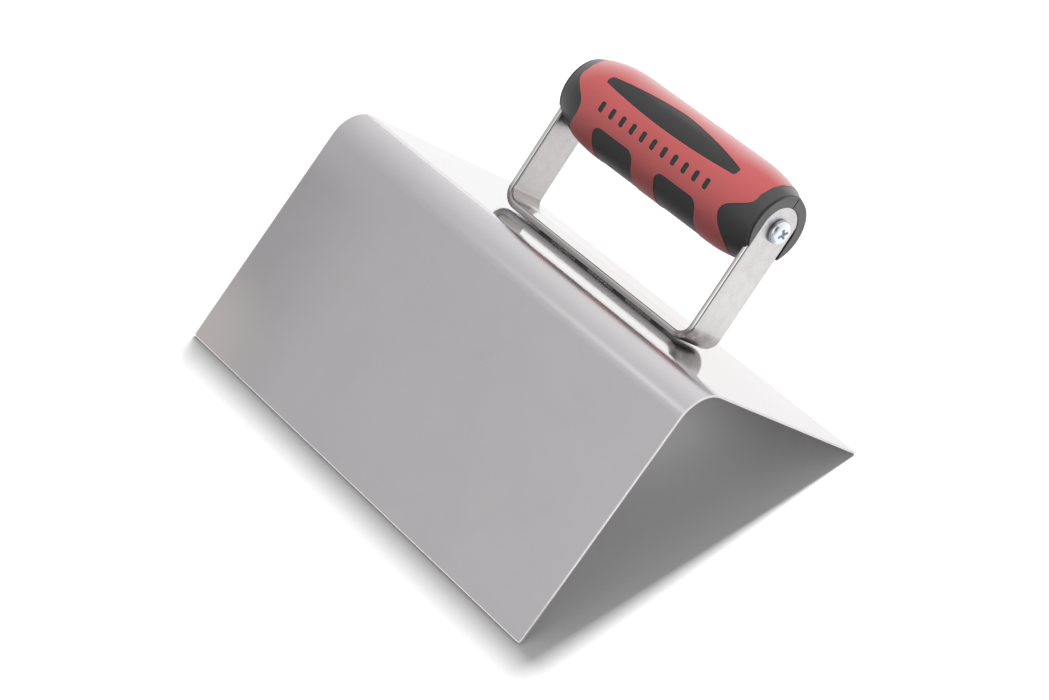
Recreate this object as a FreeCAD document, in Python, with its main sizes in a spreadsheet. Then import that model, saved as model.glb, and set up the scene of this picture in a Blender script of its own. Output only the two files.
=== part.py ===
import FreeCAD, Part
import math
import os
import Sketcher

# Outside-corner trowel: a bent steel blade, a welded flat-bar bracket and a two-tone moulded handle.
#
# The row frame has X along the blade's ridge, Z up the bisector of its two wings and Y towards the wing
# that carries the handle.  The origin is the middle of the line where the two inner working faces would
# meet.  The bracket and the handle are drawn in a bracket frame of their own: X along the ridge, Y along
# the wing away from the ridge, Z square to the wing.  Angles around the handle start at that Z and grow
# towards the ridge.

SHEET = "Sizes"

# alias, value in millimetres or degrees, meaning
DRIVING_SIZES = [
    ("blade_length", 203.2, "ridge length, 8 in"),
    ("leg_length", 105.5, "wing width, measured from the sharp inner corner"),
    ("sheet_gauge", 0.8, "blade sheet"),
    ("opening_angle", 93.0, "angle between the inner faces, in degrees"),
    ("bend_radius", 12.7, "inner radius of the ridge bend, 1/2 in"),
    ("corner_radius", 1.0, "rounding of the blade's four corners"),
    ("bar_centre", 54.0, "bracket centre line, along the wing from the sharp inner corner"),
    ("bar_width", 19.0, "bracket bar, 3/4 in"),
    ("bar_gauge", 2.8, "bracket bar"),
    ("bar_softening", 1.1, "rounding along the bar's edges"),
    ("tip_step", 0.1, "the sheared tip is this much narrower than the bar, on each side"),
    ("bracket_span", 108.0, "over the outsides of the two arms"),
    ("bracket_bend", 4.5, "inner radius of the bracket's bends"),
    ("weld_gap", 0.5, "height of the weld nuggets between blade and bar"),
    ("weld_radius", 3.0, "weld nugget"),
    ("weld_pitch", 22.0, "spacing of the weld nuggets"),
    ("screw_height", 53.0, "handle axis above the wing's inner face"),
    ("thread_radius", 2.5, "M5 screw"),
    ("screw_clearance", 2.75, "hole radius in the arms and in the core"),
    ("screw_length", 16.0, "under the head"),
    ("head_radius", 4.8, "pan head"),
    ("head_height", 3.1, "pan head"),
    ("head_rim", 0.9, "straight side of the pan head"),
    ("recess_length", 4.8, "cross recess, mouth"),
    ("recess_width", 1.25, "cross recess, mouth"),
    ("recess_floor_length", 1.6, "cross recess, floor"),
    ("recess_floor_width", 0.8, "cross recess, floor"),
    ("recess_depth", 2.1, "cross recess"),
    ("nut_flats", 8.0, "M5 nut across flats"),
    ("nut_height", 4.0, "M5 nut"),
    ("nut_setback", 8.0, "nut behind the arm's seat"),
    ("nut_clearance", 0.1, "around the nut in its pocket"),
    ("handle_length", 108.4, "over the two end rings"),
    ("barrel_radius", 18.1, "middle of the handle"),
    ("shoulder_start", 32.5, "where the barrel starts to round off"),
    ("shoulder_end", 53.2, "where the shoulder meets the end ring"),
    ("shoulder_edge", 14.2, "shoulder radius at the end ring"),
    ("ring_radius", 13.8, "end ring"),
    ("grip_depth", 2.6, "thickness of the soft grip"),
    ("grip_proud", 0.2, "soft grip above the hard core"),
    ("slot_clearance", 0.1, "beside each arm in the handle's end"),
    ("screw_tip_room", 2.0, "hole beyond the screw's tip"),
    ("seam_width", 0.4, "seam between the core halves on the end rings"),
    ("seam_depth", 0.8, "the same seam, into the ring"),
    ("cavity_radius", 9.0, "hollow of the core"),
    ("cavity_length", 62.0, "hollow of the core"),
    ("pad_inner_end", 6.3, "finger pad, from the middle of the handle"),
    ("pad_outer_end", 29.2, "finger pad, from the middle of the handle"),
    ("pad_angle", 112.5, "finger pad's upper side, in degrees"),
    ("pad_corner", 4.0, "rounding of a finger pad"),
    ("inlay_half_length", 36.2, "palm inlay"),
    ("inlay_top_angle", 33.0, "palm inlay's upper side at its middle, in degrees"),
    ("inlay_top_drop", 18.9, "how far that side comes down at the tips, in degrees"),
    ("inlay_low_angle", 69.0, "palm inlay's lower side at its middle, in degrees"),
    ("inlay_low_rise", 6.4, "how far that side comes up at the tips, in degrees"),
    ("inlay_corner", 1.2, "rounding of the palm inlay's tips"),
    ("rib_pitch", 5.9, "plain ribs along the side of the grip"),
    ("rib_width", 2.3, "rib, along the handle"),
    ("rib_angle", 90.0, "middle of a rib, in degrees"),
    ("rib_reach", 7.0, "half of a rib, around the handle in degrees"),
    ("rib_corner", 0.9, "rounding of a rib"),
    ("border_top", 48.9, "where the hard end starts, on the top of the handle"),
    ("border_waist", 39.4, "the same at the waist, where the hard end is longest"),
    ("border_bottom", 44.7, "the same under the handle"),
    ("border_swing_start", 70.0, "where the border leaves the top run, in degrees"),
    ("border_waist_angle", 105.0, "the waist, in degrees"),
    ("border_swing_end", 155.0, "where the border reaches the bottom run, in degrees"),
    ("border_floor", 8.0, "inner radius of the tools that cut the grip's ends"),
    ("end_overrun", 6.0, "how far those tools run past the handle"),
    ("cutter_floor", 14.0, "inner radius of the tools that cut the grip's windows"),
    ("cutter_reach", 24.0, "outer radius of the same tools, beyond the barrel"),
]

HALF = f"({SHEET}.opening_angle / 2)"
RIB_COUNT = 11
TOLERANCE = 0.01             # lengths closer than this count as equal
AXIS_X = FreeCAD.Vector(1, 0, 0)
ORIGIN = FreeCAD.Vector(0, 0, 0)

document = FreeCAD.newDocument("corner_trowel")
sheet = document.addObject("Spreadsheet::Sheet", SHEET)
for row, (alias, value, meaning) in enumerate(DRIVING_SIZES, start=1):
    sheet.set(f"A{row}", meaning)
    sheet.set(f"B{row}", str(value))
    sheet.setAlias(f"B{row}", alias)
document.recompute()


def size(expression):
    """The number that an expression over the sheet gives now."""
    return float(sheet.evalExpression(expression))


def sized(alias):
    """The number that the sheet holds for an alias."""
    return size(f"{SHEET}.{alias}")


def bind(item, **expressions):
    """Ties properties to the sheet."""
    for name, expression in expressions.items():
        item.setExpression(name, expression)
    return item


def add(kind, name, **expressions):
    return bind(document.addObject(kind, name), **expressions)


# ---------------------------------------------------------------- sketches

def sketch_on(body, role, name):
    """A sketch on one of the body's own origin planes."""
    plane = next(item for item in body.Origin.OriginFeatures if item.Role == role)
    sketch = body.newObject("Sketcher::SketchObject", name)
    sketch.AttachmentSupport = [(plane, "")]
    sketch.MapMode = "FlatFace"
    return sketch


def pin_point(sketch, edge, end, x, y):
    """Ties one end of a sketch edge to two expressions, or to an axis where the expression is 0."""
    origin = (-1, 1)
    for kind, expression, axis in (("DistanceX", x, -2), ("DistanceY", y, -1)):
        if expression == "0":
            sketch.addConstraint(Sketcher.Constraint("PointOnObject", edge, end, axis))
            continue
        number = sketch.addConstraint(Sketcher.Constraint(kind, *origin, edge, end, size(expression)))
        sketch.setExpression(f"Constraints[{number}]", expression)


def arc_between(start, stop, radius, turn):
    """The short arc from start to stop; turn is 1 for anticlockwise and -1 for clockwise."""
    chord = stop - start
    middle = (start + stop) * 0.5
    rise = math.sqrt(radius ** 2 - (chord.Length / 2) ** 2)
    centre = middle + FreeCAD.Vector(-chord.y, chord.x, 0).normalize() * rise * turn
    first, last = (start, stop) if turn > 0 else (stop, start)
    angles = [math.atan2(point.y - centre.y, point.x - centre.x) for point in (first, last)]
    circle = Part.Circle(centre, FreeCAD.Vector(0, 0, 1), radius)
    return Part.ArcOfCircle(circle, *angles)


def draw_outline(sketch, corners):
    """A closed outline.  A corner is (x, y), or (x, y, radius, turn) where an arc leaves it."""
    places = [FreeCAD.Vector(size(corner[0]), size(corner[1]), 0) for corner in corners]
    ends = []
    for number, corner in enumerate(corners):
        start, stop = places[number], places[(number + 1) % len(places)]
        if len(corner) == 2:
            edge = sketch.addGeometry(Part.LineSegment(start, stop))
            ends.append((edge, 1, 2))
            continue
        radius, turn = corner[2:]
        edge = sketch.addGeometry(arc_between(start, stop, size(radius), turn))
        ends.append((edge, 1, 2) if turn > 0 else (edge, 2, 1))
        constraint = sketch.addConstraint(Sketcher.Constraint("Radius", edge, size(radius)))
        sketch.setExpression(f"Constraints[{constraint}]", radius)
    for number, (edge, first, last) in enumerate(ends):
        following, entry, _ = ends[(number + 1) % len(ends)]
        sketch.addConstraint(Sketcher.Constraint("Coincident", edge, last, following, entry))
        pin_point(sketch, edge, first, corners[number][0], corners[number][1])


def draw_circle(sketch, x, y, radius):
    circle = Part.Circle(FreeCAD.Vector(size(x), size(y), 0), FreeCAD.Vector(0, 0, 1), size(radius))
    edge = sketch.addGeometry(circle)
    number = sketch.addConstraint(Sketcher.Constraint("Radius", edge, size(radius)))
    sketch.setExpression(f"Constraints[{number}]", radius)
    pin_point(sketch, edge, 3, x, y)


def round_edges(body, feature, name, radius, wanted):
    """Rounds the edges of a feature that the test picks."""
    document.recompute()
    names = [f"Edge{n}" for n, edge in enumerate(feature.Shape.Edges, start=1) if wanted(edge)]
    fillet = body.newObject("PartDesign::Fillet", name)
    fillet.Base = (feature, names)
    bind(fillet, Radius=radius)
    return fillet


# ---------------------------------------------------------------- placing on the handle wing

def stand_on_wing(item, height="0"):
    """Puts a piece drawn in the bracket frame on its wing, raised square to it by height."""
    item.Placement = FreeCAD.Placement(ORIGIN, FreeCAD.Rotation(FreeCAD.Vector(-1, 0, 0), 45))
    item.setExpression("Placement.Rotation.Angle", f"90 - {HALF}")
    item.setExpression("Placement.Base.y", f"{SHEET}.bar_centre * sin({HALF}) + {height} * cos({HALF})")
    item.setExpression("Placement.Base.z", f"{height} * sin({HALF}) - {SHEET}.bar_centre * cos({HALF})")
    return item


def both_ends(item, name):
    """A compound of a piece at the +X end and its mirror image at the other end."""
    other = add("Part::Mirroring", f"{name}_other_end")
    other.Source = item
    other.Normal = AXIS_X
    pair = add("Part::Compound", name)
    pair.Links = [item, other]
    return pair


# ---------------------------------------------------------------- blade

def make_blade():
    """One sheet, bent once along its middle."""
    body = add("PartDesign::Body", "blade")
    profile = sketch_on(body, "YZ_Plane", "blade_profile")

    def corner(along, across, side):
        """A place on a wing: along it from the sharp corner, and out from its inner face."""
        y = f"{side} * (({along}) * sin({HALF}) + ({across}) * cos({HALF}))"
        z = f"({across}) * sin({HALF}) - ({along}) * cos({HALF})"
        return y, z

    leg = f"{SHEET}.leg_length"
    sheet_gauge = f"{SHEET}.sheet_gauge"
    tangent = f"{SHEET}.bend_radius / tan({HALF})"
    far, near = 1, -1
    draw_outline(profile, [
        corner(leg, "0", far),
        corner(tangent, "0", far) + (f"{SHEET}.bend_radius", 1),
        corner(tangent, "0", near),
        corner(leg, "0", near),
        corner(leg, sheet_gauge, near),
        corner(tangent, sheet_gauge, near) + (f"{SHEET}.bend_radius + {SHEET}.sheet_gauge", -1),
        corner(tangent, sheet_gauge, far),
        corner(leg, sheet_gauge, far),
    ])
    pad = body.newObject("PartDesign::Pad", "blade_sheet")
    pad.Profile = profile
    pad.Midplane = True
    bind(pad, Length=f"{SHEET}.blade_length")

    def is_sheet_corner(edge):
        at_end = abs(abs(edge.CenterOfMass.x) - sized("blade_length") / 2) < TOLERANCE
        return at_end and abs(edge.Length - sized("sheet_gauge")) < TOLERANCE

    round_edges(body, pad, "blade_corners", f"{SHEET}.corner_radius", is_sheet_corner)
    return body


# ---------------------------------------------------------------- bracket and its welds

WELD_STEPS = (-1.5, -0.5, 0.5, 1.5)
BAR_FLOOR = f"({SHEET}.sheet_gauge + {SHEET}.weld_gap)"


def make_bracket():
    """A flat bar with rolled edges, bent into a U; each arm's tip is sheared to a half circle."""
    body = add("PartDesign::Body", "handle_bracket")
    profile = sketch_on(body, "XZ_Plane", "bracket_profile")
    outside = f"({SHEET}.bracket_span / 2)"
    inside = f"({outside} - {SHEET}.bar_gauge)"
    top = f"({SHEET}.screw_height + {SHEET}.bar_width / 2)"
    ceiling = f"({BAR_FLOOR} + {SHEET}.bar_gauge)"
    inner = f"{SHEET}.bracket_bend"
    outer = f"({inner} + {SHEET}.bar_gauge)"
    draw_outline(profile, [
        (f"{outer} - {outside}", BAR_FLOOR),
        (f"{outside} - {outer}", BAR_FLOOR, outer, 1),
        (outside, f"{BAR_FLOOR} + {outer}"),
        (outside, top),
        (inside, top),
        (inside, f"{ceiling} + {inner}", inner, -1),
        (f"{inside} - {inner}", ceiling),
        (f"{inner} - {inside}", ceiling, inner, -1),
        (f"-{inside}", f"{ceiling} + {inner}"),
        (f"-{inside}", top),
        (f"-{outside}", top),
        (f"-{outside}", f"{BAR_FLOOR} + {outer}", outer, 1),
    ])
    bar = body.newObject("PartDesign::Pad", "bracket_bar")
    bar.Profile = profile
    bar.Midplane = True
    bind(bar, Length=f"{SHEET}.bar_width")

    def runs_along_bar(edge):
        """Every edge that crosses neither the bar's width nor its gauge."""
        crossings = (sized("bar_width"), sized("bar_gauge"))
        return all(abs(edge.Length - crossing) > TOLERANCE for crossing in crossings)

    softened = round_edges(body, bar, "bracket_edges", f"{SHEET}.bar_softening", runs_along_bar)

    offcut = sketch_on(body, "YZ_Plane", "tip_offcut")
    axis = f"{SHEET}.screw_height"
    tip = f"({SHEET}.bar_width / 2 - {SHEET}.tip_step)"
    past_side = f"({SHEET}.bar_width)"
    draw_outline(offcut, [
        (past_side, axis),
        (past_side, f"{axis} + {past_side}"),
        (f"-{past_side}", f"{axis} + {past_side}"),
        (f"-{past_side}", axis),
        (f"-{tip}", axis, tip, -1),
        ("0", f"{axis} + {tip}", tip, -1),
        (tip, axis),
    ])
    tips = body.newObject("PartDesign::Pocket", "bracket_tips")
    tips.Profile = offcut
    tips.Type = "ThroughAll"
    tips.Midplane = True
    document.recompute()
    expect_less(tips, softened)

    holes = sketch_on(body, "YZ_Plane", "screw_hole_outline")
    draw_circle(holes, "0", f"{SHEET}.screw_height", f"{SHEET}.screw_clearance")
    drilled = body.newObject("PartDesign::Pocket", "screw_holes")
    drilled.Profile = holes
    drilled.Type = "ThroughAll"
    drilled.Midplane = True
    document.recompute()
    expect_less(drilled, tips)
    return stand_on_wing(body)


def make_welds():
    """The nuggets that join the bar to the blade."""
    nuggets = []
    for number, step in enumerate(WELD_STEPS, start=1):
        nugget = add("Part::Cylinder", f"nugget_{number}",
                     Radius=f"{SHEET}.weld_radius", Height=f"{SHEET}.weld_gap")
        nugget.setExpression("Placement.Base.x", f"{step} * {SHEET}.weld_pitch")
        nugget.setExpression("Placement.Base.z", f"{SHEET}.sheet_gauge")
        nuggets.append(nugget)
    welds = add("Part::Compound", "weld_nuggets")
    welds.Links = nuggets
    return stand_on_wing(welds)


# ---------------------------------------------------------------- screws and nuts

def make_screws():
    """Cross-recessed pan-head screws, one into each end of the handle."""
    body = add("PartDesign::Body", "screw_blank")
    profile = sketch_on(body, "XY_Plane", "screw_profile")
    rounding = f"({SHEET}.head_height - {SHEET}.head_rim)"
    draw_outline(profile, [
        (f"-{SHEET}.screw_length", "0"),
        (f"-{SHEET}.screw_length", f"{SHEET}.thread_radius"),
        ("0", f"{SHEET}.thread_radius"),
        ("0", f"{SHEET}.head_radius"),
        (f"{SHEET}.head_rim", f"{SHEET}.head_radius", rounding, -1),
        (f"{SHEET}.head_height", f"{SHEET}.head_radius - {rounding}"),
        (f"{SHEET}.head_height", "0"),
    ])
    turned = body.newObject("PartDesign::Revolution", "screw_turned")
    turned.Profile = profile
    turned.ReferenceAxis = (profile, ["H_Axis"])
    turned.Angle = 360

    slots = []
    into_head = FreeCAD.Rotation(FreeCAD.Vector(0, 0, 1), 90)
    for number, turn in enumerate((45, 135)):
        slot = add("Part::Wedge", f"recess_slot_{number}",
                   Xmin=f"-{SHEET}.recess_width / 2", Xmax=f"{SHEET}.recess_width / 2",
                   X2min=f"-{SHEET}.recess_floor_width / 2", X2max=f"{SHEET}.recess_floor_width / 2",
                   Zmin=f"-{SHEET}.recess_length / 2", Zmax=f"{SHEET}.recess_length / 2",
                   Z2min=f"-{SHEET}.recess_floor_length / 2", Z2max=f"{SHEET}.recess_floor_length / 2",
                   Ymin="0", Ymax=f"{SHEET}.recess_depth")
        slot.Placement.Rotation = FreeCAD.Rotation(AXIS_X, turn).multiply(into_head)
        slot.setExpression("Placement.Base.x", f"{SHEET}.head_height")
        slots.append(slot)
    recess = add("Part::MultiFuse", "cross_recess")
    recess.Shapes = slots
    screw = add("Part::Cut", "recessed_screw")
    screw.Base = body
    screw.Tool = recess
    screw.setExpression("Placement.Base.x", f"{SHEET}.bracket_span / 2")
    return stand_on_wing(both_ends(screw, "handle_screws"), f"{SHEET}.screw_height")


NUT_START = f"({SHEET}.bracket_span / 2 - {SHEET}.bar_gauge - {SHEET}.nut_setback - {SHEET}.nut_height)"


def hexagon(name, grow, length):
    """A hexagonal bar along X that starts at the nut's inner face."""
    half_flats = f"({SHEET}.nut_flats / 2 + {grow})"
    prism = add("Part::Prism", name, Circumradius=f"{half_flats} / cos(30)", Height=length)
    prism.Polygon = 6
    prism.Placement.Rotation = FreeCAD.Rotation(FreeCAD.Vector(0, 1, 0), 90)
    prism.setExpression("Placement.Base.x", NUT_START)
    return prism


def rod(name, radius, start, length):
    """A plain round bar along X."""
    bar = add("Part::Cylinder", name, Radius=radius, Height=length)
    bar.Placement.Rotation = FreeCAD.Rotation(FreeCAD.Vector(0, 1, 0), 90)
    bar.setExpression("Placement.Base.x", start)
    return bar


def make_nuts():
    """Hexagon nuts trapped between the core halves."""
    nut = add("Part::Cut", "nut")
    nut.Base = hexagon("nut_blank", "0", f"{SHEET}.nut_height")
    nut.Tool = rod("nut_bore", f"{SHEET}.thread_radius", NUT_START, f"{SHEET}.nut_height")
    return stand_on_wing(both_ends(nut, "captive_nuts"), f"{SHEET}.screw_height")


# ---------------------------------------------------------------- handle

def make_barrel(name, shrink):
    """The handle's turned form, shrunk inwards by the same amount all over."""
    body = add("PartDesign::Body", name)
    profile = sketch_on(body, "XZ_Plane", f"{name}_profile")
    face = f"({SHEET}.handle_length / 2)"
    ring = f"({SHEET}.ring_radius - {shrink})"
    edge = f"({SHEET}.shoulder_edge - {shrink})"
    middle = f"({SHEET}.barrel_radius - {shrink})"
    run = f"({SHEET}.shoulder_end - {SHEET}.shoulder_start)"
    drop = f"({SHEET}.barrel_radius - {SHEET}.shoulder_edge)"
    shoulder = f"(({run} ^ 2 + {drop} ^ 2) / (2 * {drop}))"
    draw_outline(profile, [
        (f"-{face}", "0"),
        (f"-{face}", ring),
        (f"-{SHEET}.shoulder_end", ring),
        (f"-{SHEET}.shoulder_end", edge, shoulder, -1),
        (f"-{SHEET}.shoulder_start", middle),
        (f"{SHEET}.shoulder_start", middle, shoulder, -1),
        (f"{SHEET}.shoulder_end", edge),
        (f"{SHEET}.shoulder_end", ring),
        (face, ring),
        (face, "0"),
    ])
    turned = body.newObject("PartDesign::Revolution", f"{name}_turned")
    turned.Profile = profile
    turned.ReferenceAxis = (profile, ["H_Axis"])
    turned.Angle = 360
    return body


def around(x, angle, radius):
    """A place on the handle: along its axis, around it in degrees, and out from it."""
    turn = math.radians(angle)
    return FreeCAD.Vector(x, -radius * math.sin(turn), radius * math.cos(turn))


def closed_wire(points):
    return Part.makePolygon(points + points[:1])


def round_radial_edges(solid, radius):
    """Rounds the corners of a handle window, where its walls run straight out from the axis."""
    wall = sized("cutter_reach") - sized("cutter_floor")
    return solid.makeFillet(radius, [edge for edge in solid.Edges if abs(edge.Length - wall) < TOLERANCE])


def window(x_low, x_high, angle_low, angle_high, corner):
    """A window with two sides along the handle and two around it."""
    floor, reach = sized("cutter_floor"), sized("cutter_reach")
    places = ((x_low, floor), (x_high, floor), (x_high, reach), (x_low, reach))
    flat = closed_wire([around(x, angle_low, radius) for x, radius in places])
    solid = Part.Face(flat).revolve(ORIGIN, AXIS_X, angle_high - angle_low)
    return round_radial_edges(solid, corner)


def finger_pads():
    """Two hard pads that wrap round the underside, where the fingers close."""
    inner, outer = sized("pad_inner_end"), sized("pad_outer_end")
    low, high = sized("pad_angle"), 360 - sized("pad_angle")
    corner = sized("pad_corner")
    return [window(inner, outer, low, high, corner), window(-outer, -inner, low, high, corner)]


def palm_inlay(side):
    """A long pointed inlay beside the top of the handle; side is 1 near the ridge and -1 away from it."""
    floor, reach = sized("cutter_floor"), sized("cutter_reach")
    stations = 9
    sections = []
    for number in range(stations):
        share = 2 * number / (stations - 1) - 1
        x = share * sized("inlay_half_length")
        upper = sized("inlay_top_angle") + sized("inlay_top_drop") * abs(share) ** 1.5
        lower = sized("inlay_low_angle") - sized("inlay_low_rise") * share ** 2
        corners = ((upper, floor), (upper, reach), (lower, reach), (lower, floor))
        sections.append(closed_wire([around(x, side * angle, radius) for angle, radius in corners]))
    return round_radial_edges(Part.makeLoft(sections, True, False), sized("inlay_corner"))


def grip_ribs(side):
    """A plain row of short rounded ribs along the side of the handle."""
    low = side * sized("rib_angle") - sized("rib_reach")
    high = side * sized("rib_angle") + sized("rib_reach")
    half_width = sized("rib_width") / 2
    ribs = []
    for number in range(RIB_COUNT):
        x = sized("rib_pitch") * (number - (RIB_COUNT - 1) / 2)
        ribs.append(window(x - half_width, x + half_width, low, high, sized("rib_corner")))
    return ribs


def eased(start, stop, share):
    """A value on the smooth swing from start to stop."""
    share = min(1, max(0, share))
    return start + (stop - start) * (1 - math.cos(math.pi * share)) / 2


def end_border(angle):
    """How far along the handle a hard end starts, at an angle from the top down to 180 under it."""
    waist_angle = sized("border_waist_angle")
    if angle < waist_angle:
        start = sized("border_swing_start")
        return eased(sized("border_top"), sized("border_waist"), (angle - start) / (waist_angle - start))
    run = sized("border_swing_end") - waist_angle
    return eased(sized("border_waist"), sized("border_bottom"), (angle - waist_angle) / run)


def end_regions():
    """The hard ends of the handle, whose border swings inwards below the middle of each side."""
    floor, reach = sized("border_floor"), sized("cutter_reach")
    beyond = sized("handle_length") / 2 + sized("end_overrun")
    angle_step = 9
    halves = []
    for side in (1, -1):
        sections = []
        for angle in range(0, 180 + angle_step, angle_step):
            start = end_border(angle)
            corners = ((start, floor), (beyond, floor), (beyond, reach), (start, reach))
            sections.append(closed_wire([around(x, side * angle, radius) for x, radius in corners]))
        half = Part.makeLoft(sections, True, False)
        halves += [half, half.mirror(ORIGIN, AXIS_X)]
    return halves


def make_windows():
    """Every region where the hard core comes through the soft grip."""
    regions = finger_pads() + end_regions()
    for side in (1, -1):
        regions += [palm_inlay(side)] + grip_ribs(side)
    windows = add("Part::Feature", "grip_windows")
    windows.Shape = regions[0].fuse(regions[1:])
    return windows


def make_end_cuts():
    """What the core loses at its +X end: the arm's seat, the screw hole, the nut's pocket and the seam."""
    seat = f"({SHEET}.bracket_span / 2 - {SHEET}.bar_gauge)"
    slot_radius = f"({SHEET}.bar_width / 2 + {SHEET}.slot_clearance)"
    past_end = f"({SHEET}.handle_length / 2 + {SHEET}.end_overrun - {seat})"
    crown = rod("slot_crown", slot_radius, seat, past_end)
    mouth = add("Part::Box", "slot_mouth", Length=past_end, Width=f"2 * {slot_radius}",
                Height=f"{SHEET}.cutter_reach")
    mouth.setExpression("Placement.Base.x", seat)
    mouth.setExpression("Placement.Base.y", f"-{slot_radius}")
    mouth.setExpression("Placement.Base.z", f"-{SHEET}.cutter_reach")

    tip = f"({SHEET}.bracket_span / 2 - {SHEET}.screw_length - {SHEET}.screw_tip_room)"
    screw_hole = rod("core_screw_hole", f"{SHEET}.screw_clearance", tip, f"{SHEET}.handle_length / 2 - {tip}")
    pocket = hexagon("nut_pocket", f"{SHEET}.nut_clearance", f"{SHEET}.nut_height + {SHEET}.nut_clearance")

    seam = add("Part::Box", "seam_slot", Length=past_end, Width=f"{SHEET}.seam_width",
               Height=f"{SHEET}.cutter_reach")
    seam.setExpression("Placement.Base.x", f"{SHEET}.handle_length / 2 - {SHEET}.seam_depth")
    seam.setExpression("Placement.Base.y", f"-{SHEET}.seam_width / 2")
    cuts = add("Part::MultiFuse", "end_cuts")
    cuts.Shapes = [crown, mouth, screw_hole, pocket, seam]
    return both_ends(cuts, "end_cut_pair")


def make_handle():
    """The soft grip and the two halves of the hard core."""
    outer = make_barrel("barrel", "0")
    raised = make_barrel("barrel_at_core_surface", f"{SHEET}.grip_proud")
    inner = make_barrel("barrel_under_grip", f"{SHEET}.grip_depth")
    windows = make_windows()

    sleeve = add("Part::Cut", "sleeve_blank")
    sleeve.Base = outer
    sleeve.Tool = inner
    grip = add("Part::Cut", "grip_sleeve")
    grip.Base = sleeve
    grip.Tool = windows

    shown = add("Part::Common", "core_shown")
    shown.Base = raised
    shown.Tool = windows
    whole = add("Part::MultiFuse", "core_blank")
    whole.Shapes = [inner, shown]
    hollow = f"{SHEET}.cavity_length"
    cavity = rod("core_cavity", f"{SHEET}.cavity_radius", f"-{hollow} / 2", hollow)
    removed = add("Part::Compound", "core_removed")
    removed.Links = [cavity, make_end_cuts()]
    core = add("Part::Cut", "core_whole")
    core.Base = whole
    core.Tool = removed

    parts = [grip]
    reach = f"{SHEET}.cutter_reach"
    for name, low in (("core_half_ridge_side", f"-{reach}"), ("core_half_edge_side", "0")):
        space = add("Part::Box", f"{name}_space", Width=reach, Height=f"2 * {reach}",
                    Length=f"{SHEET}.handle_length + 2 * {SHEET}.end_overrun")
        space.setExpression("Placement.Base.x", f"-{SHEET}.handle_length / 2 - {SHEET}.end_overrun")
        space.setExpression("Placement.Base.y", low)
        space.setExpression("Placement.Base.z", f"-{reach}")
        half = add("Part::Common", name)
        half.Base = core
        half.Tool = space
        parts.append(half)
    return [stand_on_wing(part, f"{SHEET}.screw_height") for part in parts]


# ---------------------------------------------------------------- checks and output

def expect_less(after, before):
    """A cut that removed nothing is a mistake."""
    if after.Shape.Volume >= before.Shape.Volume - 1e-6:
        raise RuntimeError(f"{after.Name} removed nothing")


def main():
    parts = [make_blade(), make_bracket(), make_welds(), make_screws(), make_nuts()] + make_handle()
    document.recompute()
    for item in document.Objects:
        if {"Invalid", "Error"} & set(item.State):
            raise RuntimeError(f"{item.Name} failed: {item.State}")
    os.makedirs("parts", exist_ok=True)
    for part in parts:
        part.Label = part.Name
        shape = part.Shape
        if shape.isNull() or not shape.isValid():
            raise RuntimeError(f"{part.Name} has no valid shape")
        print(part.Name, "solids", len(shape.Solids), "volume", round(shape.Volume, 1))
        shape.exportStep(os.path.join("parts", f"{part.Name}.step"))


main()
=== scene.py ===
import math

import bpy
from mathutils import Matrix, Vector


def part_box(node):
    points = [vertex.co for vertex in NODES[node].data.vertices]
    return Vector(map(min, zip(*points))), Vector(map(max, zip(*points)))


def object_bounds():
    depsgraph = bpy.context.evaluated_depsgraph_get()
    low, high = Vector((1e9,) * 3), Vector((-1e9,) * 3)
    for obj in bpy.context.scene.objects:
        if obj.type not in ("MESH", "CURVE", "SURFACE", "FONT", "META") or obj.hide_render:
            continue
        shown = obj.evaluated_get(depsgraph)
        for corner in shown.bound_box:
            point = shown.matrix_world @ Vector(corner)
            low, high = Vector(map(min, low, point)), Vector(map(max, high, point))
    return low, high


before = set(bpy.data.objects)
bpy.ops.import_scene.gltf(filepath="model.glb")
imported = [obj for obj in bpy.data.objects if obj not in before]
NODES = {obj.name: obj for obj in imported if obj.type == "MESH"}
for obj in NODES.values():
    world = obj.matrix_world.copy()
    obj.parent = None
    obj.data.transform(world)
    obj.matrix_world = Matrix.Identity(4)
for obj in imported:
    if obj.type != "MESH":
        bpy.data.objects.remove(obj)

# Looks of the outside corner trowel.  The frame has X along the ridge, Z up the bisector of the two
# wings and Y towards the wing that carries the handle.  The scene is in metres; the materials work in
# millimetres.

CAD_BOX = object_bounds()
MM = 0.001

HALF_ANGLE = math.radians(46.5)
ALONG_X = Vector((1, 0, 0))
ALONG_Y = Vector((0, 1, 0))
HANDLE_WING_NORMAL = Vector((0, math.cos(HALF_ANGLE), math.sin(HALF_ANGLE)))
HANDLE_WING_DOWN = Vector((0, math.sin(HALF_ANGLE), -math.cos(HALF_ANGLE)))
PLAIN_WING_NORMAL = Vector((0, -math.cos(HALF_ANGLE), math.sin(HALF_ANGLE)))
PLAIN_WING_DOWN = Vector((0, -math.sin(HALF_ANGLE), -math.cos(HALF_ANGLE)))

# Places on the tool, in millimetres.
LAID_DOWN_CORNER = tuple(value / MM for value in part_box("blade")[0])
ARM_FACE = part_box("handle_bracket")[1][0] / MM     # the outer face of the right arm, along X
BAR_TOP = 4.1                                      # above the handle wing's inner face

# View: the camera looks along azimuth and down by elevation at a point near the middle of the tool.
VIEW_AZIMUTH = math.radians(52.62)
VIEW_ELEVATION = math.radians(40.74)
VIEW_ROLL = math.radians(-0.29)
VIEW_DISTANCE = 0.98649
VIEW_AIM = Vector((21.87, -13.18, -29.46)) * MM
VIEW_TURN = (Matrix.Rotation(VIEW_AZIMUTH, 4, "Z")
             @ Matrix.Rotation(math.pi / 2 - VIEW_ELEVATION, 4, "X")
             @ Matrix.Rotation(VIEW_ROLL, 4, "Z"))
VIEW_BACK = VIEW_TURN @ Vector((0, 0, VIEW_DISTANCE))
SENSOR_WIDTH = 36.0
LENS = 95.44


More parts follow.
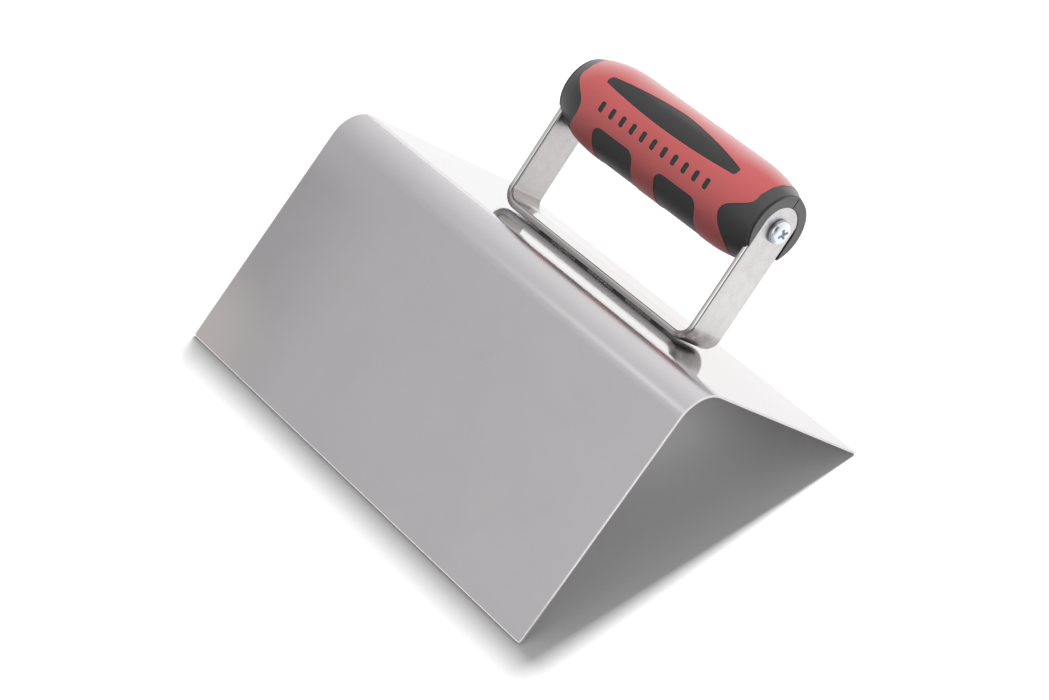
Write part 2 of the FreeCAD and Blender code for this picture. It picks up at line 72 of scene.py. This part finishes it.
# ---------------------------------------------------------------- a short way to write node materials

BLACK = (0.0, 0.0, 0.0)


class Graph:
    """Node tree of a material.  A socket, a number or a tuple can be given to any input."""

    def __init__(self, tree):
        self.tree = tree
        tree.nodes.clear()

    def node(self, kind, inputs=None, output=0, **settings):
        node = self.tree.nodes.new(f"ShaderNode{kind}")
        for name, value in settings.items():
            setattr(node, name, value)
        for name, value in (inputs or {}).items():
            if isinstance(value, bpy.types.NodeSocket):
                self.tree.links.new(value, node.inputs[name])
            else:
                node.inputs[name].default_value = value
        return node.outputs[output] if node.outputs else node

    def math(self, operation, a, b=0.0):
        return self.node("Math", {0: a, 1: b}, operation=operation)

    def add(self, a, b):
        return self.math("ADD", a, b)

    def larger(self, a, b):
        return self.math("MAXIMUM", a, b)

    def size(self, value):
        """The value without its sign."""
        return self.math("ABSOLUTE", value)

    def product(self, first, *others):
        for other in others:
            first = self.math("MULTIPLY", first, other)
        return first

    def vector(self, operation, a, b=(0, 0, 0), output=0):
        return self.node("VectorMath", {0: a, 1: b}, output, operation=operation)

    def dot(self, a, direction):
        if not isinstance(direction, bpy.types.NodeSocket):
            direction = tuple(direction)
        return self.vector("DOT_PRODUCT", a, direction, output="Value")

    def remap(self, value, low, high, to_low=0.0, to_high=1.0, smooth=False):
        """Low to high becomes to_low to to_high, and what is outside stays at the nearer end."""
        kind = "SMOOTHSTEP" if smooth else "LINEAR"
        inputs = {"Value": value, "From Min": low, "From Max": high}
        inputs |= {"To Min": to_low, "To Max": to_high}
        return self.node("MapRange", inputs, interpolation_type=kind, clamp=True)

    def mix(self, factor, a, b):
        return self.node("Mix", {"Factor": factor, 2: a, 3: b}, data_type="FLOAT")

    def blend(self, factor, a, b):
        inputs = {"Factor": factor, 6: colour(a), 7: colour(b)}
        return self.node("Mix", inputs, output=2, data_type="RGBA")

    def darken(self, factor, tint):
        return self.blend(factor, tint, BLACK)

    def blend_normals(self, factor, a, b):
        mixed = self.node("Mix", {"Factor": factor, 4: a, 5: b}, output=1, data_type="VECTOR")
        return self.vector("NORMALIZE", mixed)

    def place(self):
        """The point's place in the frame, in millimetres."""
        point = self.node("TexCoord", output="Object")
        return self.vector("MULTIPLY", point, (1 / MM, 1 / MM, 1 / MM))

    def normal(self):
        return self.node("NewGeometry", output="Normal")

    def face_normal(self):
        """The normal of the flat face, without any smoothing."""
        return self.node("NewGeometry", output="True Normal")

    def stretch(self, vector, factors, turn=(0, 0, 0)):
        inputs = {"Vector": vector, "Scale": factors, "Rotation": turn}
        return self.node("Mapping", inputs)

    def noise(self, vector, size, detail=2.0, roughness=0.5):
        """Noise from 0 to 1 whose lumps are about size millimetres across."""
        inputs = {"Vector": vector, "Scale": 1.0 / size, "Detail": detail, "Roughness": roughness}
        return self.node("TexNoise", inputs)

    def bump(self, height, distance, strength=1.0, normal=None):
        """A normal for a relief: a height of 1 stands for distance millimetres."""
        inputs = {"Height": height, "Distance": distance * MM, "Strength": strength}
        if normal is not None:
            inputs["Normal"] = normal
        return self.node("Bump", inputs)

    def soft_edge(self, radius):
        """A normal that rounds sharp edges to a radius in millimetres."""
        return self.node("Bevel", {"Radius": radius * MM}, samples=6)

    def edge_mask(self, radius, low=0.01, high=0.12):
        """1 on sharp edges, fading out over radius millimetres."""
        agreement = self.dot(self.face_normal(), self.soft_edge(radius))
        return self.remap(self.math("SUBTRACT", 1.0, agreement), low, high)


def colour(value):
    """A colour with its alpha, from three numbers; a socket stays as it is."""
    return value if isinstance(value, bpy.types.NodeSocket) else (*value, 1.0)


def material(name, build):
    """A material whose surface inputs come from build(graph)."""
    made = bpy.data.materials.new(name)
    made.use_nodes = True
    graph = Graph(made.node_tree)
    surface = graph.node("BsdfPrincipled", build(graph))
    graph.node("OutputMaterial", {"Surface": surface})
    return made


def grazing_share(graph):
    """0 seen square on, 1 seen along the surface."""
    return graph.node("LayerWeight", {"Blend": 0.5}, output="Facing")


def scratches(graph, place, turn, length, width, cover=0.0):
    """1 on thin scratches that run along the ridge.  Each turn gives another set; cover adds to them."""
    stretched = graph.stretch(place, (1 / length, 1 / width, 1 / width), turn)
    streaks = graph.noise(stretched, 1.0, detail=1.0)
    return graph.remap(streaks, 0.78 - cover, 0.84 - cover)


# ---------------------------------------------------------------- blade

DEBURRED_EDGE = (0.0, 0.2, 0.98)              # the filed edges catch the light from above
DEBURRED_LOWER_EDGE = (0.36, -0.68, 0.64)     # and, on the plain wing, the light from the front


def painted_end_light(graph, place, tint):
    """Painted shade that darkens the plain wing towards the left end, and a painted reflection that makes
    the corner where the blade is laid down paler and warmer.
    """
    left_end = graph.remap(graph.dot(place, ALONG_X), -100, -45, 1.0, 0.0, smooth=True)
    down_wing = graph.remap(graph.dot(place, PLAIN_WING_DOWN), 14, 32, smooth=True)
    # painted shade towards the left end, away from the ridge
    tint = graph.darken(graph.product(left_end, down_wing, 0.17), tint)
    from_corner = graph.vector("DISTANCE", place, LAID_DOWN_CORNER, output="Value")
    # painted reflection: paler, warmer steel near the laid-down corner
    painted_corner_glow = graph.remap(from_corner, 6, 42, 1.0, 0.0, smooth=True)
    return graph.blend(graph.product(painted_corner_glow, 0.62), tint, (0.80, 0.74, 0.72))


def deburred_normal(graph):
    """Which way the filed edges face, for the light that they catch."""
    on_plain_wing = graph.remap(graph.dot(graph.face_normal(), PLAIN_WING_NORMAL), 0.8, 0.9)
    return graph.blend_normals(on_plain_wing, DEBURRED_EDGE, DEBURRED_LOWER_EDGE)


def blade_steel(graph):
    """Satin stainless sheet: cloudy polish, fine grain, stray scratches; a mirror seen along it."""
    place = graph.place()
    grain = graph.noise(graph.stretch(place, (0.05, 1, 1)), 0.25, detail=3)
    clouds = graph.noise(place, 38, detail=3, roughness=0.6)
    mottle = graph.noise(place, 7, detail=2)
    marks = graph.larger(scratches(graph, place, (0.2, 0.1, 0.9), length=14, width=0.25),
                         scratches(graph, place, (0.4, 0.3, -0.5), length=9, width=0.2))
    tone = graph.add(graph.product(clouds, 0.7), graph.product(mottle, 0.3))
    along = graph.remap(grazing_share(graph), 0.60, 0.85)
    cut_edge = graph.edge_mask(0.7)
    tint = graph.blend(tone, (0.575, 0.560, 0.572), (0.645, 0.625, 0.640))
    tint = graph.blend(graph.product(marks, 0.35), tint, (0.8, 0.8, 0.8))
    # painted shade towards the left end and a painted reflection at the laid-down corner
    tint = painted_end_light(graph, place, tint)
    # painted shade: the steel is darkened where it is seen along it, which dims what it mirrors there
    tint = graph.darken(graph.product(along, 0.32), tint)
    # painted highlight: the cut edges are painted near white, for the light that they catch
    tint = graph.blend(graph.product(cut_edge, 0.9), tint, (0.97, 0.95, 0.95))
    satin = graph.add(graph.mix(clouds, 0.24, 0.34), graph.product(marks, 0.08))
    height = graph.add(graph.product(grain, 0.4), graph.product(marks, -0.6))
    relief = graph.bump(height, 0.01, graph.mix(along, 0.25, 0.0), graph.soft_edge(0.25))
    return {
        "Base Color": tint,
        "Metallic": 1.0,
        "Roughness": graph.mix(along, satin, 0.09),
        "Normal": graph.blend_normals(graph.product(cut_edge, 0.8), relief, deburred_normal(graph)),
    }


# ---------------------------------------------------------------- bracket and its welds

GAP_LIGHT = 0.045     # painted glow that the bar's underside gives off, standing in for light bounced in the gap


def above_wing(graph, place):
    """Height above the handle wing's inner face."""
    return graph.dot(place, HANDLE_WING_NORMAL)


def from_middle(graph, place):
    """Distance from the tool's middle, along the ridge."""
    return graph.size(graph.dot(place, ALONG_X))


def dark_patches_outside_bends(graph, place):
    """Darker patches low on the outside of the bar's two bends, fewer towards the wing's long edge."""
    low = graph.remap(above_wing(graph, place), BAR_TOP + 0.9, BAR_TOP + 5.9, 1.0, 0.0, smooth=True)
    outward = graph.remap(from_middle(graph, place), ARM_FACE - 9, ARM_FACE - 4, smooth=True)
    patches = graph.remap(graph.noise(place, 3.5, detail=4, roughness=0.6), 0.30, 0.60)
    towards_ridge = graph.remap(graph.dot(place, HANDLE_WING_DOWN), 46, 60, 1.0, 0.45)
    return graph.product(low, outward, patches, towards_ridge)


def dark_inside_bends(graph, place):
    """An even darkening in the hollows of the bar's two bends."""
    height = above_wing(graph, place)
    above_bar = graph.remap(height, BAR_TOP + 0.2, BAR_TOP + 0.9)
    below_arm = graph.remap(height, BAR_TOP + 3.5, BAR_TOP + 4.5, 1.0, 0.0)
    between_arms = graph.remap(from_middle(graph, place), ARM_FACE - 2.9, ARM_FACE - 2.6, 0.8, 0.0)
    return graph.product(above_bar, below_arm, between_arms)


def inner_side(graph, place):
    """1 on the arms' sides that face each other, which get painted shade."""
    between_arms = graph.remap(from_middle(graph, place), ARM_FACE - 1.8, ARM_FACE - 1.2, 1.0, 0.0)
    above_bar = graph.remap(above_wing(graph, place), BAR_TOP + 0.9, BAR_TOP + 4.9)
    return graph.product(between_arms, above_bar)


def near_handle(graph, place):
    """0 low on an arm and 1 where it meets the handle; the arm is darker there."""
    return graph.remap(above_wing(graph, place), 12, 50)


def underneath(graph):
    """1 on the bar's underside: light bounces in that gap for longer than the render follows it."""
    return graph.remap(graph.dot(graph.normal(), -HANDLE_WING_NORMAL), 0.90, 0.98)


def bracket_tint(graph, place, clouds, marks, sideways):
    """Slightly warm steel; narrow sides painted darker on the bar and lighter on the arms, as light and
    shade; darker bends.
    """
    tint = graph.blend(clouds, (0.56, 0.55, 0.55), (0.68, 0.67, 0.665))
    on_arm = graph.remap(above_wing(graph, place), BAR_TOP + 0.9, BAR_TOP + 7.9)
    # painted light and shade: the narrow sides are darker on the bar and lighter on the arms
    narrow_side = graph.blend(on_arm, (0.47, 0.463, 0.457), (0.80, 0.79, 0.79))
    tint = graph.blend(graph.product(graph.remap(sideways, 0.6, 0.85), 0.95), tint, narrow_side)
    # painted shade on the arms' sides that face each other
    tint = graph.darken(graph.product(inner_side(graph, place), 0.2), tint)
    tint = graph.darken(graph.product(near_handle(graph, place), 0.10), tint)
    bend_darkening = graph.larger(dark_patches_outside_bends(graph, place), dark_inside_bends(graph, place))
    tint = graph.blend(graph.product(bend_darkening, 0.85), tint, (0.20, 0.17, 0.155))
    return graph.blend(graph.product(marks, 0.6), tint, (0.32, 0.31, 0.30))


def bracket_steel(graph):
    """Tumbled steel bar: a dull skin with dings and scratches, smoother on its rolled edges."""
    place = graph.place()
    grain = graph.noise(graph.stretch(place, (0.3, 1, 1)), 0.35, detail=4, roughness=0.6)
    clouds = graph.remap(graph.noise(place, 4, detail=5, roughness=0.65), 0.3, 0.7)
    marks = graph.larger(scratches(graph, place, (0.9, 0.2, 0.3), length=5, width=0.2, cover=0.06),
                         scratches(graph, place, (-0.5, 0.8, 0.1), length=4, width=0.18, cover=0.06))
    sideways = graph.size(graph.dot(graph.normal(), HANDLE_WING_DOWN))
    rolled = graph.remap(sideways, 0.05, 0.3)
    along = graph.remap(grazing_share(graph), 0.55, 0.9)
    tint = bracket_tint(graph, place, clouds, marks, sideways)
    dull = graph.mix(along, graph.mix(clouds, 0.26, 0.40), 0.15)
    height = graph.add(grain, graph.product(marks, -1.2))
    relief = graph.mix(rolled, graph.mix(along, 0.5, 0.1), 0.06)
    return {
        # painted shade: the steel is darkened where it is seen along it, which dims what it mirrors there
        "Base Color": graph.darken(graph.product(along, 0.37), tint),
        "Metallic": 1.0,
        "Roughness": graph.mix(rolled, dull, 0.10),
        "Normal": graph.bump(height, 0.02, relief),
        "Emission Color": colour((0.95, 0.97, 1.0)),
        "Emission Strength": graph.product(underneath(graph), GAP_LIGHT),
    }


def weld_metal(graph):
    """Scorched, dull weld metal."""
    scale = graph.noise(graph.place(), 0.6, detail=4)
    return {
        "Base Color": graph.blend(scale, (0.05, 0.045, 0.04), (0.12, 0.11, 0.10)),
        "Metallic": 1.0,
        "Roughness": graph.mix(scale, 0.55, 0.75),
        "Normal": graph.bump(scale, 0.05, 0.6),
    }


# ---------------------------------------------------------------- screws and nuts

def zinc_plate(graph):
    """Bright zinc with a faint blue cast, a fine crystalline mottle and painted shade close to the arm.
    """
    place = graph.place()
    crystals = graph.noise(place, 0.5, detail=3)
    above_arm = graph.math("SUBTRACT", from_middle(graph, place), ARM_FACE)
    painted_shade_by_arm = graph.remap(above_arm, 0.3, 1.0, 1.0, 0.0)
    tint = graph.blend(crystals, (0.62, 0.66, 0.72), (0.80, 0.83, 0.88))
    tint = graph.blend(graph.product(graph.edge_mask(0.3), 0.5), tint, (0.9, 0.92, 0.95))
    # painted shade: the head is darkened close to the arm
    tint = graph.blend(graph.product(painted_shade_by_arm, 0.85), tint, (0.06, 0.055, 0.05))
    return {
        "Base Color": tint,
        "Metallic": 1.0,
        "Roughness": graph.mix(crystals, 0.18, 0.32),
        "Normal": graph.bump(crystals, 0.01, 0.4, graph.soft_edge(0.15)),
    }


# ---------------------------------------------------------------- handle

SHEEN_LIGHT_FROM = (0.0, 0.4, 0.917)     # the painted sheen's light comes from up and a little towards the handle wing


def painted_sheen(graph, tint, pale, strength):
    """Painted sheen: paler where the surface faces up and turns away from the eye."""
    turned = graph.remap(grazing_share(graph), 0.38, 0.85)
    upward = graph.remap(graph.dot(graph.normal(), SHEEN_LIGHT_FROM), 0.1, 0.7)
    return graph.blend(graph.product(turned, upward, strength), tint, pale)


def soft_grip(graph):
    """Dull red elastomer: fine spark-eroded texture, with a painted highlight along its cut-outs."""
    place = graph.place()
    texture = graph.noise(place, 0.35, detail=3, roughness=0.6)
    patches = graph.noise(place, 12, detail=3)
    tint = graph.blend(patches, (0.465, 0.092, 0.093), (0.515, 0.110, 0.110))
    # painted highlight: paler along the cut-out edges, for the light that they catch
    tint = graph.blend(graph.product(graph.edge_mask(0.45), 0.35), tint, (0.72, 0.30, 0.29))
    return {
        # painted sheen where the grip faces up and away from the eye
        "Base Color": painted_sheen(graph, tint, (0.80, 0.80, 0.80), 0.38),
        "Roughness": graph.mix(texture, 0.42, 0.58),
        "Specular IOR Level": 0.45,
        "Normal": graph.bump(texture, 0.04, 0.7, graph.soft_edge(0.25)),
    }


def painted_end_reflection(graph):
    """1 on the end rings, less on the shoulders, 0 on the plain wing's side: where a painted reflection
    lightens the ends.
    """
    outward = graph.size(graph.dot(graph.normal(), ALONG_X))
    off_plain_side = graph.remap(graph.dot(graph.normal(), ALONG_Y), -0.95, -0.4)
    return graph.product(outward, off_plain_side)


def hard_core(graph):
    """Near-black moulded plastic with a fine matt texture."""
    place = graph.place()
    texture = graph.noise(place, 0.3, detail=3, roughness=0.6)
    patches = graph.noise(place, 9, detail=3)
    tint = graph.blend(patches, (0.016, 0.0155, 0.0165), (0.022, 0.0215, 0.0225))
    tint = graph.blend(graph.product(graph.edge_mask(0.4), 0.3), tint, (0.10, 0.10, 0.10))
    # painted sheen where the core faces up and away from the eye
    tint = painted_sheen(graph, tint, (0.30, 0.30, 0.30), 0.45)
    return {
        # painted reflection: the end rings and shoulders are lightened
        "Base Color": graph.blend(graph.product(painted_end_reflection(graph), 0.22), tint, (0.50, 0.50, 0.51)),
        "Roughness": graph.mix(texture, 0.38, 0.55),
        "Specular IOR Level": 0.5,
        "Normal": graph.bump(texture, 0.035, 0.7, graph.soft_edge(0.3)),
    }


# ---------------------------------------------------------------- which piece has which finish

HANDLE_NODES = ("grip_sleeve", "core_half_ridge_side", "core_half_edge_side")

FINISHES = {
    "blade": blade_steel,
    "handle_bracket": bracket_steel,
    "weld_nuggets": weld_metal,
    "handle_screws": zinc_plate,
    "captive_nuts": zinc_plate,
    "grip_sleeve": soft_grip,
    "core_half_ridge_side": hard_core,
    "core_half_edge_side": hard_core,
}


def dress():
    """Gives every CAD node its finish."""
    made = {}
    for node, build in FINISHES.items():
        if build not in made:
            made[build] = material(build.__name__, build)
        slots = NODES[node].data.materials
        slots.clear()
        slots.append(made[build])


# ---------------------------------------------------------------- studio

FLOOR_REACH = 6.0
FLOOR_HEIGHT = CAD_BOX[0][2]

TENT_MIDDLE = 0.91           # strength of the light tent, square to the way it brightens
TENT_SWING = 0.33            # how much brighter it is behind the tool, and darker in front
TENT_FILL = 0.42             # how much of the tent's light reaches matt surfaces
BRIGHTER_TOWARDS = (0.0, 0.985, 0.174)
FRONT_PANEL = Vector((0.08, -0.82, 0.565)).normalized()


def pale_floor_finish(graph):
    """Plain pale board with a faint tooth."""
    tooth = graph.noise(graph.place(), 1.5, detail=3)
    return {
        "Base Color": graph.blend(tooth, (0.90, 0.90, 0.90), (0.93, 0.93, 0.93)),
        "Roughness": 0.8,
        "Specular IOR Level": 0.2,
    }


def make_floor():
    """A wide plain floor that the two long edges of the blade stand on."""
    mesh = bpy.data.meshes.new("floor")
    sides = ((-1, -1), (1, -1), (1, 1), (-1, 1))
    corners = [(x * FLOOR_REACH, y * FLOOR_REACH, FLOOR_HEIGHT) for x, y in sides]
    mesh.from_pydata(corners, [], [(0, 1, 2, 3)])
    floor = bpy.data.objects.new("floor", mesh)
    bpy.context.scene.collection.objects.link(floor)
    floor.data.materials.append(material("pale_floor", pale_floor_finish))
    return floor


def make_surroundings():
    """A light tent: brighter behind, a pale panel in front, darker at the camera and on the left."""
    world = bpy.data.worlds.new("light_tent")
    world.use_nodes = True
    bpy.context.scene.world = world
    graph = Graph(world.node_tree)
    direction = graph.node("TexCoord", output="Generated")
    brightening = graph.product(graph.dot(direction, BRIGHTER_TOWARDS), TENT_SWING)
    panel = graph.remap(graph.dot(direction, FRONT_PANEL), 0.86, 0.98, 0.0, 0.8, smooth=True)
    towards_camera = graph.dot(direction, VIEW_BACK.normalized())
    photographer = graph.remap(towards_camera, 0.82, 0.97, 1.0, 0.15, smooth=True)
    left_end = graph.remap(graph.dot(direction, -ALONG_X), 0.57, 0.85, 1.0, 0.55)
    on_matt_surfaces = graph.node("LightPath", output="Is Diffuse Ray")
    fill = graph.mix(on_matt_surfaces, 1.0, TENT_FILL)
    level = graph.add(graph.add(TENT_MIDDLE, brightening), panel)
    strength = graph.product(level, photographer, left_end, fill)
    background = graph.node("Background", {"Color": (1, 1, 1, 1), "Strength": strength})
    graph.node("OutputWorld", {"Surface": background})


def only_on(light, pieces):
    """Lets a light fall on these pieces alone."""
    receivers = bpy.data.collections.new(f"lit_by_{light.name}")
    for piece in pieces:
        receivers.objects.link(piece)
    light.light_linking.receiver_collection = receivers


def add_softbox(name, place, aim, width, power, mirrored=False):
    """A square area light that the camera doesn't see, nor, unless mirrored, the polished steel."""
    light = bpy.data.lights.new(name, "AREA")
    light.shape = "SQUARE"
    light.size = width
    light.energy = power
    item = bpy.data.objects.new(name, light)
    item.location = place
    item.visible_camera = False
    item.visible_glossy = mirrored
    item.rotation_euler = (Vector(aim) - Vector(place)).to_track_quat("-Z", "Y").to_euler()
    bpy.context.scene.collection.objects.link(item)
    return item


def make_lights(floor):
    """Lights for the floor's shadow, for the floor under the blade, for the handle and for the ridge."""
    middle = (0, 0, 0)
    behind = add_softbox("floor_softbox", place=(-0.3, 2.50, 2.15), aim=middle, width=0.34, power=162.0)
    only_on(behind, [floor])
    under = add_softbox("under_fill", place=(0.03, 0.035, -0.045), aim=(0.03, 0.035, -0.07),
                        width=0.06, power=0.0045)
    only_on(under, [floor])
    top = add_softbox("handle_softbox", place=(-0.1, 0.15, 1.4), aim=middle, width=0.6, power=17.3)
    only_on(top, [NODES[name] for name in HANDLE_NODES])
    add_softbox("ridge_softbox", place=(-0.25, -0.22, 0.425), aim=(0.11, 0, 0),
                width=0.09, power=0.03, mirrored=True)


def make_camera():
    camera = bpy.data.objects.new("camera", bpy.data.cameras.new("camera"))
    camera.data.sensor_width = SENSOR_WIDTH
    camera.data.lens = LENS
    camera.matrix_world = Matrix.Translation(VIEW_AIM + VIEW_BACK) @ VIEW_TURN
    bpy.context.scene.collection.objects.link(camera)
    bpy.context.scene.camera = camera


dress()
make_surroundings()
make_lights(make_floor())
make_camera()
bpy.context.scene.view_settings.view_transform = "Standard"
